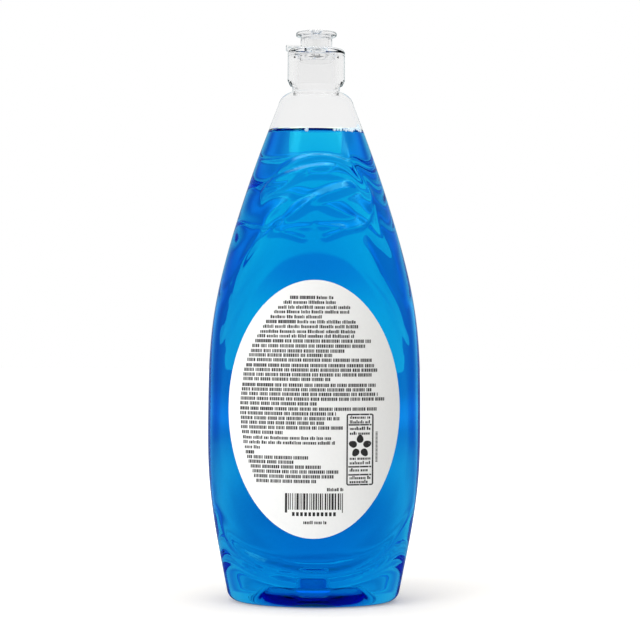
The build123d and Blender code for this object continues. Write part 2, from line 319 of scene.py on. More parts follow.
# Dome, neck root, handling bead and finish, then the inside of the neck, as (radius, z)
neck_outside = round_rows([
    (17.75, 237.5), (17.1, 238.8), (16.4, 239.8), (15.3, 240.9), (14.2, 241.6), (13, 242.2), (11.9, 242.6),
    (11.1, 242.8), (10.85, 243.0), (10.9, 243.3), (11.1, 243.42), (11.32, 243.55), (11.4, 243.8),
    (11.4, 244.9), (11.32, 245.15), (11.1, 245.3), (10.9, 245.4), (10.85, 245.6), (10.85, 248), (10.85, 254),
    (10.85, 259.2), (10.75, 259.6), (10.5, 259.84), (10.2, 259.9),
])
neck_inside = round_rows([
    (9.8, 259.9), (9.5, 259.84), (9.28, 259.6), (9.2, 259.2), (9.2, 252), (9.2, 243.6), (9.6, 242.6),
    (10.8, 241.6), (12.6, 240.8), (14.4, 239.9), (15.7, 238.9), (16.6, 237.8),
])
# Foot from inside: the hump over the push-up and the stub of the gate
over_foot = foot_rows([(8.6, 0.95), (10, 1.5), (15, 5.2), (19.8, 8.6), (22, 8.9), (31.2, 9.0)])
gate = round_rows([(8.2, 9.1), (7.4, 9.6), (7.0, 11), (6.6, 12.6), (5.6, 13.2), (3, 13.4)])

outer_rings = [*boss, *under_foot, *body_rows(low_heights, 0), *body_rows(swirl_heights, 0, 2 * COLUMNS),
               *neck_outside, *neck_inside]
inner_rings = [*body_rows(inner_heights[::-1], WALL), *over_foot, *gate]
bottle, bottle_rows = sheet_of_rings("bottle_shell", outer_rings + inner_rings, "bottle_body")
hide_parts("bottle")


def linear(code):
    """Turn an sRGB hex colour into the linear colour that shaders take."""
    parts = [int(code[i:i + 2], 16) / 255 for i in (1, 3, 5)]
    return (*(p / 12.92 if p <= 0.04045 else ((p + 0.055) / 1.055) ** 2.4 for p in parts), 1.0)


def add_node(tree, kind, settings=None, inputs=None):
    """Add a node with its settings and its inputs, each a value or the socket that feeds it."""
    node = tree.nodes.new(kind)
    for name, value in (settings or {}).items():
        setattr(node, name, value)
    for name, value in (inputs or {}).items():
        if isinstance(value, bpy.types.NodeSocket):
            tree.links.new(value, node.inputs[name])
        else:
            node.inputs[name].default_value = value
    return node


def new_material(name):
    """Return an empty material and its node tree."""
    material = bpy.data.materials.new(name)
    material.use_nodes = True
    material.node_tree.nodes.clear()
    return material, material.node_tree


LAST_BOUNCE = 11.0


def light_of_long_paths(tree):
    """Return 1 at the last bounce that a path is followed to, and 0 before it.

    There a surface gives the light that the rest of the path would bring from the tent.
    """
    path = add_node(tree, "ShaderNodeLightPath")
    return add_node(tree, "ShaderNodeMath", {"operation": "COMPARE"},
                    {0: path.outputs["Ray Depth"], 1: LAST_BOUNCE, 2: 0.5}).outputs[0]


# Over soap, glints are painted cyan and long paths end in a painted light-blue glow. The ripple is given
# by its width and depth.
SOAP_PAINTED_GLINT = linear("#40FFFF")
SOAP_PAINTED_GLOW = linear("#3CB8F4")
RIPPLE_WIDTH = 18.18
RIPPLE_DEPTH = 1.2


def patches(tree, width, detail=1.0, roughness=0.5):
    """Return soft random patches, about so many millimetres wide and fixed to the piece."""
    place = add_node(tree, "ShaderNodeTexCoord")
    return add_node(tree, "ShaderNodeTexNoise", None, {
        "Vector": place.outputs["Object"], "Scale": 1 / (width * MM),
        "Detail": detail, "Roughness": roughness,
    }).outputs["Fac"]


def blown_pet(name, index, alpha=1.0, glint=linear("#FFFFFF"), glow=linear("#B0B0B0")):
    """Blow-moulded PET: clear and glossy, with the faint ripple of a blown wall that bends its glints."""
    material, tree = new_material(name)
    ripple = patches(tree, RIPPLE_WIDTH, 1.5, 0.4)
    bump = add_node(tree, "ShaderNodeBump", None,
                    {"Height": ripple, "Strength": 0.06, "Distance": RIPPLE_DEPTH * MM})
    gloss = add_node(tree, "ShaderNodeMapRange", None,
                     {"Value": ripple, "From Min": 0.3, "From Max": 0.7, "To Min": 0.0, "To Max": 0.03})
    shader = add_node(tree, "ShaderNodeBsdfPrincipled", None, {
        "Base Color": linear("#FBFBFB"), "Roughness": gloss.outputs["Result"], "IOR": index,
        "Transmission Weight": 1.0, "Normal": bump.outputs["Normal"], "Alpha": alpha,
        # Specular Tint paints the glints' colour, cyan over soap
        "Specular IOR Level": 1.0, "Specular Tint": glint,
        # Painted glow: at the last bounce the wall gives light of its own, in the glow colour
        "Emission Color": glow, "Emission Strength": light_of_long_paths(tree),
    })
    add_node(tree, "ShaderNodeOutputMaterial", None, {"Surface": shader.outputs["BSDF"]})
    return material


# The index of each wall is matched, below PET's own 1.57. The thin wall above the soap hardly
# bends light and shows by its glints. Where soap wets the wall, the two bend light as one body, and the
# wall's inside has no edge that the eye could see. There the front bends light most, so that the folds
# show, and the far wall less, so that no light stays trapped along the sides and darkens them.
bottle.data.materials.append(blown_pet("blow_moulded_PET", 1.07))
bottle.data.materials.append(blown_pet("blow_moulded_PET_over_soap", 1.31, 1.0, SOAP_PAINTED_GLINT, SOAP_PAINTED_GLOW))
bottle.data.materials.append(blown_pet("blow_moulded_PET_wetted_inside", 1.0, 0.0))
bottle.data.materials.append(blown_pet("blow_moulded_PET_far_wall", 1.22, 1.0, SOAP_PAINTED_GLINT, SOAP_PAINTED_GLOW))
BARE_WALL, FRONT_WALL, WETTED_INSIDE, FAR_WALL = range(4)
under_foot_faces = range(len(boss) + len(under_foot) - 1)
over_foot_faces = range(len(outer_rings) + len(inner_heights) - 1, len(outer_rings) + len(inner_rings) + 1)


def wall_material(row, centre):
    """Return the place in the list of materials that a face takes, from its row and its centre."""
    if centre.z > SOAP_LEVEL * MM or row in under_foot_faces or row in over_foot_faces:
        return BARE_WALL
    if row >= len(outer_rings) - 1:
        return WETTED_INSIDE
    return FRONT_WALL if centre.y < 0 else FAR_WALL


bottle.data.polygons.foreach_set("material_index", [
    wall_material(row, polygon.center) for row, polygon in zip(bottle_rows, bottle.data.polygons)])

# Dish soap. The real liquid is a clear blue dye solution that wets the whole inside of the wall. Its
# colour comes from absorption over its depth, so thin edges are pale cyan and the middle is deep blue.
# It reaches a little into the wall, so that no film of air lies between them.
SOAP_OVERLAP = 0.05
# The surface climbs the wall: distance in from its edge and depth below it
MENISCUS = ((0.25, 0.45), (0.6, 0.8), (1.2, 1.1), (2.2, 1.3), (4, 1.4), (8, 1.4), (16, 1.4))
below_edge = inner_heights[inner_heights < SOAP_LEVEL - 2.5]
soap_heights = np.concatenate([below_edge, [SOAP_LEVEL - 1.5, SOAP_LEVEL]])
soap_side = body_rows(soap_heights, WALL - SOAP_OVERLAP)
surface = []
for inset, sink in MENISCUS:
    ring = soap_side[-1].copy()
    ring[:, :2] *= 1 - inset / np.hypot(ring[:, 0], ring[:, 1])[:, None]
    ring[:, 2] -= sink
    surface.append(ring)
foot_inside = np.concatenate([gate[::-1], over_foot[::-1]]) - np.array([0, 0, SOAP_OVERLAP])
soap, soap_rows = sheet_of_rings("dish_soap_liquid", [*foot_inside, *soap_side, *surface], "bottle_body")
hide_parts("dish_soap")

# In the dye, light falls to about a third over 8 mm in red, 39 mm in green and 154 mm in blue
DYE_PASSES = (0.0, 0.782, 0.945, 1.0)
DYE_DENSITY = 118.0
DRIFT_WIDTH = 33.33


def soap_material(name, index):
    """Clear dye solution, pale cyan where it is thin and deep blue where it is thick."""
    material, tree = new_material(name)
    tone = add_node(tree, "ShaderNodeMix", {"data_type": "RGBA"}, {
        "Factor": patches(tree, DRIFT_WIDTH), "A": linear("#FFFFFF"), "B": linear("#F4FBFF")})
    shader = add_node(tree, "ShaderNodeBsdfPrincipled", None, {
        "Base Color": tone.outputs["Result"], "Roughness": 0.0, "IOR": index, "Transmission Weight": 1.0,
        # Painted glow: at the last bounce the soap gives light of its own, light blue
        "Emission Color": SOAP_PAINTED_GLOW, "Emission Strength": light_of_long_paths(tree),
    })
    volume = add_node(tree, "ShaderNodeVolumeAbsorption", None,
                      {"Color": DYE_PASSES, "Density": DYE_DENSITY})
    add_node(tree, "ShaderNodeOutputMaterial", None,
             {"Surface": shader.outputs["BSDF"], "Volume": volume.outputs["Volume"]})
    return material


# Against the wall the bend of light is the bottle's own, so the soap's side adds none
soap.data.materials.append(soap_material("dish_soap_at_wall", 1.0))
soap.data.materials.append(soap_material("dish_soap_surface", 1.36))
AT_WALL, SURFACE = range(2)
side_rows = range(len(foot_inside), len(foot_inside) + len(soap_heights) - 1)
soap.data.polygons.foreach_set("material_index", [
    AT_WALL if row in side_rows else SURFACE for row in soap_rows])

# Foam. A few bubbles and a patch of froth cling to the wall at the soap's edge, as filling and carrying
# leave them. Each is a thin skin of soap round air, here a ball given by (x, z, radius).
bubbles = [
    (-4.2, 222.9, 1.0), (8.6, 223.0, 0.75), (10.1, 223.2, 0.65), (11.5, 223.1, 0.7), (13.0, 223.3, 0.55)]
# The froth gets deeper to the right, by the climb over the run
FROTH_COUNT = 60
FROTH_LEFT, FROTH_RIGHT, FROTH_LOW = 13.8, 23.5, 222.8
FROTH_DEPTH, FROTH_CLIMB, FROTH_RUN = 0.6, 3.4, 9
BUBBLE_TO_SIDE = 1.2
chance = random.Random(3)
for _ in range(FROTH_COUNT):
    x = chance.uniform(FROTH_LEFT, FROTH_RIGHT)
    depth = FROTH_DEPTH + FROTH_CLIMB * (x - FROTH_LEFT) / FROTH_RUN
    z = FROTH_LOW + chance.uniform(0, 1) * depth
    bubbles.append((x, z, chance.uniform(0.3, 0.62)))
work = bmesh.new()
for x, z, radius in bubbles:
    half_width, half_depth = (half[0] - WALL for half in half_axes(np.array([z])))
    x = min(x, half_width - BUBBLE_TO_SIDE)
    y = -half_depth * math.sqrt(1 - (x / half_width) ** 2) + radius * 1.05
    made = bmesh.ops.create_icosphere(work, subdivisions=3, radius=radius * MM)
    bmesh.ops.translate(work, verts=made["verts"], vec=(x * MM, y * MM, z * MM))
mesh = bpy.data.meshes.new("soap_foam")
work.to_mesh(mesh)
work.free()
mesh.polygons.foreach_set("use_smooth", [True] * len(mesh.polygons))
foam = object_of(mesh)
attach(foam, "bottle_body")
# Soap film: so thin that many skins together scatter light and look white, with a faint painted glow
# added, and their tone drifts at random to pale cyan
SKIN_PATCH = 1.43
material, tree = new_material("soap_bubble_skin")
tone = add_node(tree, "ShaderNodeMix", {"data_type": "RGBA"},
                {"Factor": patches(tree, SKIN_PATCH), "A": linear("#F4FAFD"), "B": linear("#D5ECF8")})
shader = add_node(tree, "ShaderNodeBsdfPrincipled", None, {
    "Base Color": tone.outputs["Result"], "Roughness": 0.1, "IOR": 1.2, "Transmission Weight": 0.15,
    # Painted glow: the skin gives a little white light of its own
    "Emission Color": linear("#F4FAFD"), "Emission Strength": 0.3,
})
add_node(tree, "ShaderNodeOutputMaterial", None, {"Surface": shader.outputs["BSDF"]})
mesh.materials.append(material)

# Label. The real one is a thin white film, printed and laid in the front panel. It is satin, so it
# stays white and soft against the glossy bottle. The CAD node already has its shape.
# Its grain is finer in truth than the camera could show, so it is drawn about a millimetre wide.
FILM_GRAIN = 1.11
material, tree = new_material("white_BOPP_label_film")
grain = patches(tree, FILM_GRAIN, 2.0)
bump = add_node(tree, "ShaderNodeBump", None,
                {"Height": grain, "Strength": 0.08, "Distance": 0.05 * MM})
tone = add_node(tree, "ShaderNodeMix", {"data_type": "RGBA"},
                {"Factor": grain, "A": linear("#F6F7F7"), "B": linear("#F0F1F2")})
shader = add_node(tree, "ShaderNodeBsdfPrincipled", None, {
    "Base Color": tone.outputs["Result"], "Roughness": 0.42, "IOR": 1.49, "Normal": bump.outputs["Normal"],
})
add_node(tree, "ShaderNodeOutputMaterial", None, {"Surface": shader.outputs["BSDF"]})
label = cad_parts["label"]
label.data.materials.clear()
label.data.materials.append(material)

# Print on the label. The real one is a thin layer of dark ink: fine rows, a bar field and a framed note.
# Here the rows are short blocks, the field is plain bars and the note holds a ring of drops. The ink
# lies 0.008 mm above the film's face. Sizes are in millimetres, x across and z up.
FILM_THICKNESS = 0.12
INK_RADIUS = PANEL_RADIUS + FILM_THICKNESS + 0.008
LABEL_Z = 92.7
LONGEST_STRIP = 2.5
STROKES = [0.42, 0.56, 0.74]
BOLD_EXTRA = 0.12
TALL_STROKE = 1.55
SHORTEST_WORD, LONGEST_WORD, WORD_GAP = 2.2, 8.5, 0.55
chance = random.Random(7)
ink_points, ink_faces = [], []


def film_point(x, z):
    """Return the place of ink on the film's face, x across and z up, in metres."""
    return (x * MM, (PANEL_AXIS_Y - math.sqrt(INK_RADIUS * INK_RADIUS - x * x)) * MM, z * MM)


def ink_patch(x0, x1, z0, z1):
    """Add a rectangle of ink, in strips narrow enough to follow the film."""
    count = max(1, math.ceil((x1 - x0) / LONGEST_STRIP))
    for i in range(count + 1):
        x = x0 + (x1 - x0) * i / count
        ink_points.extend([film_point(x, z0), film_point(x, z1)])
        if i:
            n = len(ink_points)
            ink_faces.append((n - 4, n - 2, n - 1, n - 3))


def ink_outline(points):
    """Add a small rounded or slanted shape of ink from its corners, as a fan that follows the film."""
    start = len(ink_points)
    count = len(points)
    ink_points.extend(film_point(x, z) for x, z in points)
    ink_points.append(film_point(sum(x for x, _ in points) / count, sum(z for _, z in points) / count))
    for i in range(count):
        ink_faces.append((start + i, start + (i + 1) % count, start + count))


def text_row(x0, x1, z, bold_until=None, low=1.25, tall_share=0.25):
    """Add a row of short blocks grouped like words, between x0 and x1."""
    x = x0
    while x < x1 - 0.5:
        word_end = min(x1, x + chance.uniform(SHORTEST_WORD, LONGEST_WORD))
        bold = bold_until is not None and x < bold_until
        while x < word_end - 0.3:
            tall = TALL_STROKE if bold or chance.random() < tall_share else low
            width = chance.choice(STROKES) + (BOLD_EXTRA if bold else 0)
            ink_patch(x, x + width, z, z + tall)
            x += width + (0.16 if bold else 0.22)
        x += WORD_GAP


# Each row: height of its middle above the label's, start, end, end of its bold words, share of tall strokes
ROWS = [
    (51.6, -11.4, 8.4, -1.5, 0.3), (49.4, -14.4, 10.2, None, 0.3), (47.1, -16.9, 16.2, None, 0.3),
    (45.0, -18.8, 17.1, None, 0.3), (42.7, -20.4, 4.2, None, 0.3), (40.4, -22.5, 19.4, -13.5, 0.5),
    (38.2, -23.9, 20.3, None, 0.3), (35.9, -25.2, 19.4, None, 0.3), (33.8, -26.6, 18.5, None, 0.3),
    (31.5, -27.5, 26.1, -16.0, 1.0), (29.2, -28.9, 24.0, None, 1.0), (26.9, -29.5, 14.8, None, 1.0),
    (24.9, -30.4, 8.1, None, 1.0), (22.7, -31.2, 26.3, None, 1.0), (20.2, -31.7, 28.1, -18.4, 1.0),
    (18.1, -32.6, 29.3, None, 1.0), (15.9, -33.0, 27.7, None, 1.0), (13.8, -33.0, 7.4, None, 1.0),
    (11.1, -33.5, 28.6, -23.2, 1.0), (9.0, -33.7, 26.7, None, 1.0), (6.9, -34.0, 29.8, None, 1.0),
    (4.7, -34.2, 32.7, None, 1.0), (2.5, -34.4, 1.0, None, 1.0), (0.1, -34.4, 29.5, -22.7, 1.0),
    (-2.1, -34.4, 10.4, None, 1.0), (-4.3, -34.1, 12.0, None, 1.0), (-6.4, -34.0, 4.7, None, 1.0),
    (-8.6, -34.0, 13.0, None, 1.0), (-10.9, -33.5, -14.6, None, 1.0), (-13.3, -33.0, 7.7, None, 0.3),
    (-15.5, -32.8, 9.6, None, 0.3), (-17.8, -32.1, -25.2, None, 0.3), (-20.2, -31.7, -27.5, -27.5, 1.0),
    (-22.4, -31.0, -2.2, None, 1.0), (-24.5, -30.3, -9.6, None, 1.0), (-26.7, -29.3, 3.8, None, 1.0),
    (-28.9, -28.4, 11.6, None, 1.0), (-31.1, -27.7, 9.6, None, 1.0), (-33.3, -26.6, 1.5, None, 1.0),
]
for rise, start, end, bold_until, tall_share in ROWS:
    text_row(start, end, LABEL_Z + rise - 0.8, bold_until, tall_share=tall_share)

# Bar field, whose end bars reach lower, with plain dashes under it
FIELD_LEFT, FIELD_RIGHT = -13.2, 13.8
FIELD_LOW, FIELD_HIGH, END_BAR_DROP = LABEL_Z - 46.4, LABEL_Z - 38.8, 1.4
BARS, BAR_GAPS = [0.42, 0.42, 0.75, 1.05], [0.4, 0.4, 0.7]
DASH_LOW, DASH_HIGH, DASH_STEP = LABEL_Z - 49.3, LABEL_Z - 47.5, 1.9
x = FIELD_LEFT
while x < FIELD_RIGHT - 0.3:
    bar = chance.choice(BARS)
    drop = END_BAR_DROP if x < FIELD_LEFT + 1.2 or x > FIELD_RIGHT - 1.4 else 0
    ink_patch(x, min(x + bar, FIELD_RIGHT), FIELD_LOW - drop, FIELD_HIGH)
    x += bar + chance.choice(BAR_GAPS)
for i in range(11):
    ink_patch(-9.9 + i * DASH_STEP, -8.7 + i * DASH_STEP, DASH_LOW, DASH_HIGH)
text_row(6.2, 14.0, LABEL_Z - 37.8)
text_row(-4.7, 6.0, LABEL_Z - 53.0)

# Framed note with round corners, its dividers and a ring of five drops
frame_left, frame_right, frame_low, frame_high = 15.4, 27.3, LABEL_Z - 34.9, LABEL_Z - 2.4
CORNER, HALF_LINE = 0.6, 0.34
left, right = frame_left + CORNER, frame_right - CORNER
low, high = frame_low + CORNER, frame_high - CORNER
inner, outer = CORNER - HALF_LINE, CORNER + HALF_LINE
for z in (frame_low, frame_high, LABEL_Z - 7.2, LABEL_Z - 26.6, LABEL_Z - 30.3):
    ink_patch(left, right, z - HALF_LINE, z + HALF_LINE)
for x in (frame_left, frame_right):
    ink_patch(x - HALF_LINE, x + HALF_LINE, low, high)
for cx, cz, first in ((left, low, 180), (right, low, 270), (right, high, 0), (left, high, 90)):
    angles = [math.radians(first + 30 * i) for i in range(4)]
    for a, b in zip(angles[:-1], angles[1:]):
        ink_outline([(cx + r * math.cos(t), cz + r * math.sin(t))
                     for r, t in ((inner, a), (outer, a), (outer, b), (inner, b))])
for rise in (-4.4, -6.6, -9.6, -11.8, -23.4, -25.5, -28.8, -32.4, -34.2):
    text_row(frame_left + 1.2, frame_right - 1.2, LABEL_Z + rise, low=1.0, tall_share=0.2)
RING_X, RING_Z, RING_RADIUS = 21.4, LABEL_Z - 17.2, 3.2
DROP_RADIUS, DROP_TIP = 1.6, 0.7
for k in range(5):
    turn = math.radians(90 + 72 * k)
    cx, cz = RING_X + RING_RADIUS * math.cos(turn), RING_Z + RING_RADIUS * math.sin(turn)
    drop = []
    for i in range(16):
        t = 2 * math.pi * i / 16
        reach = DROP_RADIUS + DROP_TIP * max(0.0, math.cos(t)) ** 4
        drop.append((cx + reach * math.cos(t + turn), cz + reach * math.sin(t + turn)))
    ink_outline(drop)
# Upright row of fine dashes beside the frame
z = LABEL_Z - 24.5
while z < LABEL_Z - 10.5:
    ink_patch(28.6, 29.6, z, z + 0.36)
    z += 0.62

mesh = bpy.data.meshes.new("label_print")
mesh.from_pydata(ink_points, [], ink_faces)
print_layer = object_of(mesh)
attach(print_layer, "bottle_body")
# Flexo ink: near black, thin and a little uneven, so that no row is quite solid
INK_MOTTLE = 0.667
material, tree = new_material("black_UV_flexo_ink")
tone = add_node(tree, "ShaderNodeMix", {"data_type": "RGBA"},
                {"Factor": patches(tree, INK_MOTTLE), "A": linear("#1D1B1C"), "B": linear("#343233")})
shader = add_node(tree, "ShaderNodeBsdfPrincipled", None,
                  {"Base Color": tone.outputs["Result"], "Roughness": 0.5, "IOR": 1.5})
add_node(tree, "ShaderNodeOutputMaterial", None, {"Surface": shader.outputs["BSDF"]})
print_layer.data.materials.append(material)

# Closure. The real collar, its plug ring, its turret and the post that seals the spout are one injection
# moulding of clear polypropylene, screwed down over the neck. The polished mould leaves it glossy, so it
# shows as pale grey lines and bands against a white ground.
HAZE_PATCH = 6.25


def clear_moulding(name, index):
    """Injection-moulded clear plastic: glossy, with a breath of haze."""
    material, tree = new_material(name)
    haze = patches(tree, HAZE_PATCH, 2.0)
    gloss = add_node(tree, "ShaderNodeMapRange", None,
                     {"Value": haze, "From Min": 0.3, "From Max": 0.7, "To Min": 0.01, "To Max": 0.05})
    shader = add_node(tree, "ShaderNodeBsdfPrincipled", None, {
        "Base Color": linear("#FCFCFC"), "Roughness": gloss.outputs["Result"], "IOR": index,
        "Transmission Weight": 1.0,
    })
    add_node(tree, "ShaderNodeOutputMaterial", None, {"Surface": shader.outputs["BSDF"]})
    return material


def softened(profile, radius, steps=4):
    """Return a closed outline with rounded corners, from corners (r, z) or (r, z, radius)."""
    result = []
    count = len(profile)
    for i in range(count):
        here = np.array(profile[i][:2], float)
        before, after = np.array(profile[i - 1][:2], float), np.array(profile[(i + 1) % count][:2], float)
        size = profile[i][2] if len(profile[i]) > 2 else radius
        back, on = before - here, after - here
        back_run, on_run = np.linalg.norm(back), np.linalg.norm(on)
        half = math.acos(np.clip(back @ on / back_run / on_run, -1, 1)) / 2
        cut = min(size / math.tan(half), 0.45 * back_run, 0.45 * on_run)
        start, end = here + back / back_run * cut, here + on / on_run * cut
        for p in np.linspace(0, 1, steps + 1):
            result.append((1 - p) ** 2 * start + 2 * p * (1 - p) * here + p * p * end)
    return result


def object_from(name, points, faces):
    """Return a mesh object made from points in millimetres."""
    mesh = bpy.data.meshes.new(name)
    mesh.from_pydata([tuple(c * MM for c in point) for point in points], [], faces)
    mesh.validate()
    return object_of(mesh)


def lathe(name, profile, segments=144):
    """Return a ring-shaped solid turned round the bottle's axis from a closed outline."""
    count = len(profile)
    points, faces = [], []
    for s in range(segments):
        c, d = math.cos(2 * math.pi * s / segments), math.sin(2 * math.pi * s / segments)
        points += [(r * c, r * d, z) for r, z in profile]
        n = (s + 1) % segments
        faces += [(s * count + i, s * count + (i + 1) % count, n * count + (i + 1) % count, n * count + i)
                  for i in range(count)]
    return object_from(name, points, faces)


def slab(name, outline, low, high, soften=0.15):
    """Return an upright slab from its outline in plan, with its edges slightly rounded."""
    count = len(outline)
    points = [(x, y, low) for x, y in outline] + [(x, y, high) for x, y in outline]
    faces = [tuple(range(count))[::-1], tuple(range(count, 2 * count))]
    faces += [(i, (i + 1) % count, count + (i + 1) % count, count + i) for i in range(count)]
    piece = object_from(name, points, faces)
    if soften:
        work = bmesh.new()
        work.from_mesh(piece.data)
        sharp = [e for e in work.edges if e.calc_face_angle(0) > 0.5]
        bmesh.ops.bevel(work, geom=sharp, offset=soften * MM, segments=2, affect="EDGES")
        work.to_mesh(piece.data)
        work.free()
    return piece


def join_or_cut(piece, tool, operation):
    """Apply a boolean with a tool piece, and remove the tool."""
    modifier = piece.modifiers.new(operation, "BOOLEAN")
    modifier.operation = operation
    modifier.solver = "EXACT"
    modifier.object = tool
    bpy.context.view_layer.update()
    result = bpy.data.meshes.new_from_object(piece.evaluated_get(bpy.context.evaluated_depsgraph_get()))
    piece.modifiers.clear()
    old_mesh = piece.data
    piece.data = result
    bpy.data.meshes.remove(old_mesh)
    bpy.data.objects.remove(tool)


def finish_moulding(piece, name, material, body, node):
    """Give a moulded piece its smooth faces, material and place in the assembly."""
    piece.name = name
    piece.data.materials.clear()
    piece.data.materials.append(material)
    piece.data.polygons.foreach_set("use_smooth", [True] * len(piece.data.polygons))
    piece.data.set_sharp_from_angle(angle=math.radians(34))
    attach(piece, body)
    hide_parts(node)


COLLAR_TOP, COLLAR_UNDERSIDE = 263.0, 260.2
SPOUT_TOP = 271.3
# Skirt with its turned-in lip and round shoulder, turret with its bead, plug ring, then the bore
closure = lathe("closure_blank", softened([
    (11.8, 245.8), (12.55, 245.8), (13.65, 248.2, 0.5), (13.65, COLLAR_TOP, 1.7),
    (5.9, COLLAR_TOP, 0.3), (5.9, 268.5), (6.4, 268.5), (6.15, 269.0), (4.8, 269.0, 0.25),
    (4.8, COLLAR_UNDERSIDE), (8.0, COLLAR_UNDERSIDE), (8.0, 257.3), (8.45, 257.3), (8.9, 258.75),
    (8.9, COLLAR_UNDERSIDE), (12.2, COLLAR_UNDERSIDE, 0.5), (12.2, 248.2, 0.6),
], 0.15))
# Post up to the spout's orifice, on three spokes across the turret's bore
post = lathe("post", softened([
    (0.02, 260.3, 0.001), (1.9, 260.3, 0.001), (1.9, SPOUT_TOP, 0.6), (0.02, SPOUT_TOP, 0.001)], 0.15), 64)
SPOKE_ENDS = ((0.4, -0.7), (5.35, -0.7), (5.35, 0.7), (0.4, 0.7))
for k in range(3):
    turn = 2 * math.pi * k / 3
    ux, uy = math.cos(turn), math.sin(turn)
    outline = [(r * ux - w * uy, r * uy + w * ux) for r, w in SPOKE_ENDS]
    join_or_cut(post, slab("spoke", outline, 260.24, 261.8, 0), "UNION")
join_or_cut(closure, post, "UNION")
# Notch in the shoulder, open to the left, that the tab's rib drops into
NOTCH_START = -8.4
notch_outline = ((0, -3.5), (0.3, -4.2), (1, -4.5), (9, -4.5), (9, 4.5), (1, 4.5), (0.3, 4.2), (0, 3.5))
notch = slab("notch", [(NOTCH_START - r, w) for r, w in notch_outline], 261.5, 264, 0)
join_or_cut(closure, notch, "DIFFERENCE")
# The index is matched, below the plastic's own 1.49, so that the collar's double walls stay pale
# and only their edges draw lines
finish_moulding(closure, "closure_collar", clear_moulding("clear_polypropylene_collar", 1.23),
                "closure_body", "closure")

# Spout. The real one is a second clear moulding, snapped over the bead of the turret, and slides up on it
# to open. Its thumb tab lies in the collar's notch and bends down over the edge.
spout = lathe("spout_blank", softened([
    (6.2, 263.3), (8.1, 263.3, 0.2), (8.1, 263.8, 0.2), (7.5, 263.8, 0.2), (7.5, 269.3, 0.4),
    (9.7, 269.3, 0.8), (9.7, SPOUT_TOP, 0.8), (2.2, SPOUT_TOP, 0.35), (2.2, 269.3, 0.2), (6.7, 269.3, 0.4),
    (6.7, 263.8, 0.1), (6.2, 263.8, 0.1),
], 0.15))
# Tab: a plate that ends in an arc round the collar, the lip under that arc, and a rib below the plate
TAB_REACH, LIP_BORE = 14.55, 13.95
tab_end = [(-TAB_REACH * math.cos(a), TAB_REACH * math.sin(a)) for a in np.linspace(-0.243, 0.243, 9)]
lip_inside = [(-LIP_BORE * math.cos(a), LIP_BORE * math.sin(a)) for a in np.linspace(0.2536, -0.2536, 9)]
plate = slab("plate", [(-7.1, -3.5), *tab_end, (-7.1, 3.5)][::-1], 264.1, 264.9)
join_or_cut(plate, slab("lip", (tab_end + lip_inside)[::-1], 262.6, 264.5, 0.1), "UNION")
RIB_TOP, RIB_BOTTOM, RIB_SIDES = 264.3, 261.8, (-0.6, 0.6)
rib_points = [(-8.7, y, z) for y in RIB_SIDES for z in (RIB_TOP, RIB_BOTTOM)]
rib_points += [(-10.5, y, RIB_BOTTOM) for y in RIB_SIDES]
rib_points += [(-12.3, y, RIB_TOP) for y in RIB_SIDES]
rib_faces = [(0, 1, 4, 6), (2, 7, 5, 3), (0, 2, 3, 1), (1, 3, 5, 4), (4, 5, 7, 6), (6, 7, 2, 0)]
join_or_cut(plate, object_from("rib", rib_points, rib_faces), "UNION")
join_or_cut(spout, plate, "UNION")
finish_moulding(spout, "spout_with_tab", clear_moulding("clear_polypropylene_spout", 1.32),
                "spout_body", "pull_spout")

# Light tent. The bottle stood in a tent of white cloth on a white sweep. Its walls and its floor are
# drawn as levels of light, where 1 is white, and each kind of ray meets its own. Clear pieces show the
# wall behind them, with dim blue flags left and right of the middle that darken the soap's sides.
# Level of the wall at each angle from straight behind the bottle, in degrees, positive to the right
WALL_LEVELS = [
    (-180, (0.85, 0.85, 0.85)), (-75, (0.92, 0.92, 0.92)), (-46, (0.85, 0.92, 0.97)),
    (-30, (0.36, 0.50, 0.80)), (-18, (0.54, 0.70, 0.88)), (-7, (1.0, 1.0, 1.0)),
    (7, (1.0, 1.0, 1.0)), (18, (0.50, 0.64, 0.86)), (30, (0.32, 0.44, 0.76)),
    (46, (0.66, 0.76, 0.92)), (75, (0.92, 0.92, 0.92)), (180, (0.85, 0.85, 0.85)),
]
HIGH_WALL_LEVEL = (0.97, 0.97, 0.97)
SOFT = {"interpolation_type": "SMOOTHSTEP"}
# What gloss shows: the tent's dim front, its brighter back, two tall boxes and one overhead
FRONT_LEVEL, BACK_LEVEL = 0.08, 0.42
BACK_TINT = (0.70, 1.0, 1.08)
TALL_BOX_HEADINGS = (-2.4, 2.1)
TALL_BOX_LEVEL = 6.0
OVERHEAD_LEVEL = 8.0
BOX_TINT = (0.92, 0.97, 1.0)


def level_ramp(tree, share, stops):
    """Return a soft ramp through levels up to 2 at places between 0 and 1."""
    ramp = add_node(tree, "ShaderNodeValToRGB", None, {"Fac": share})
    marks = ramp.color_ramp
    marks.interpolation = "EASE"
    for place, level in stops:
        if place == 0:
            mark = marks.elements[0]
        elif place == 1:
            mark = marks.elements[-1]
        else:
            mark = marks.elements.new(place)
        mark.color = (*(part / 2 for part in level), 1)
    last_place, last_level = stops[-1]
    if last_place < 1:
        marks.elements[-1].color = (*(part / 2 for part in last_level), 1)
    return add_node(tree, "ShaderNodeVectorMath", {"operation": "SCALE"},
                    {0: ramp.outputs["Color"], "Scale": 2.0}).outputs[0]


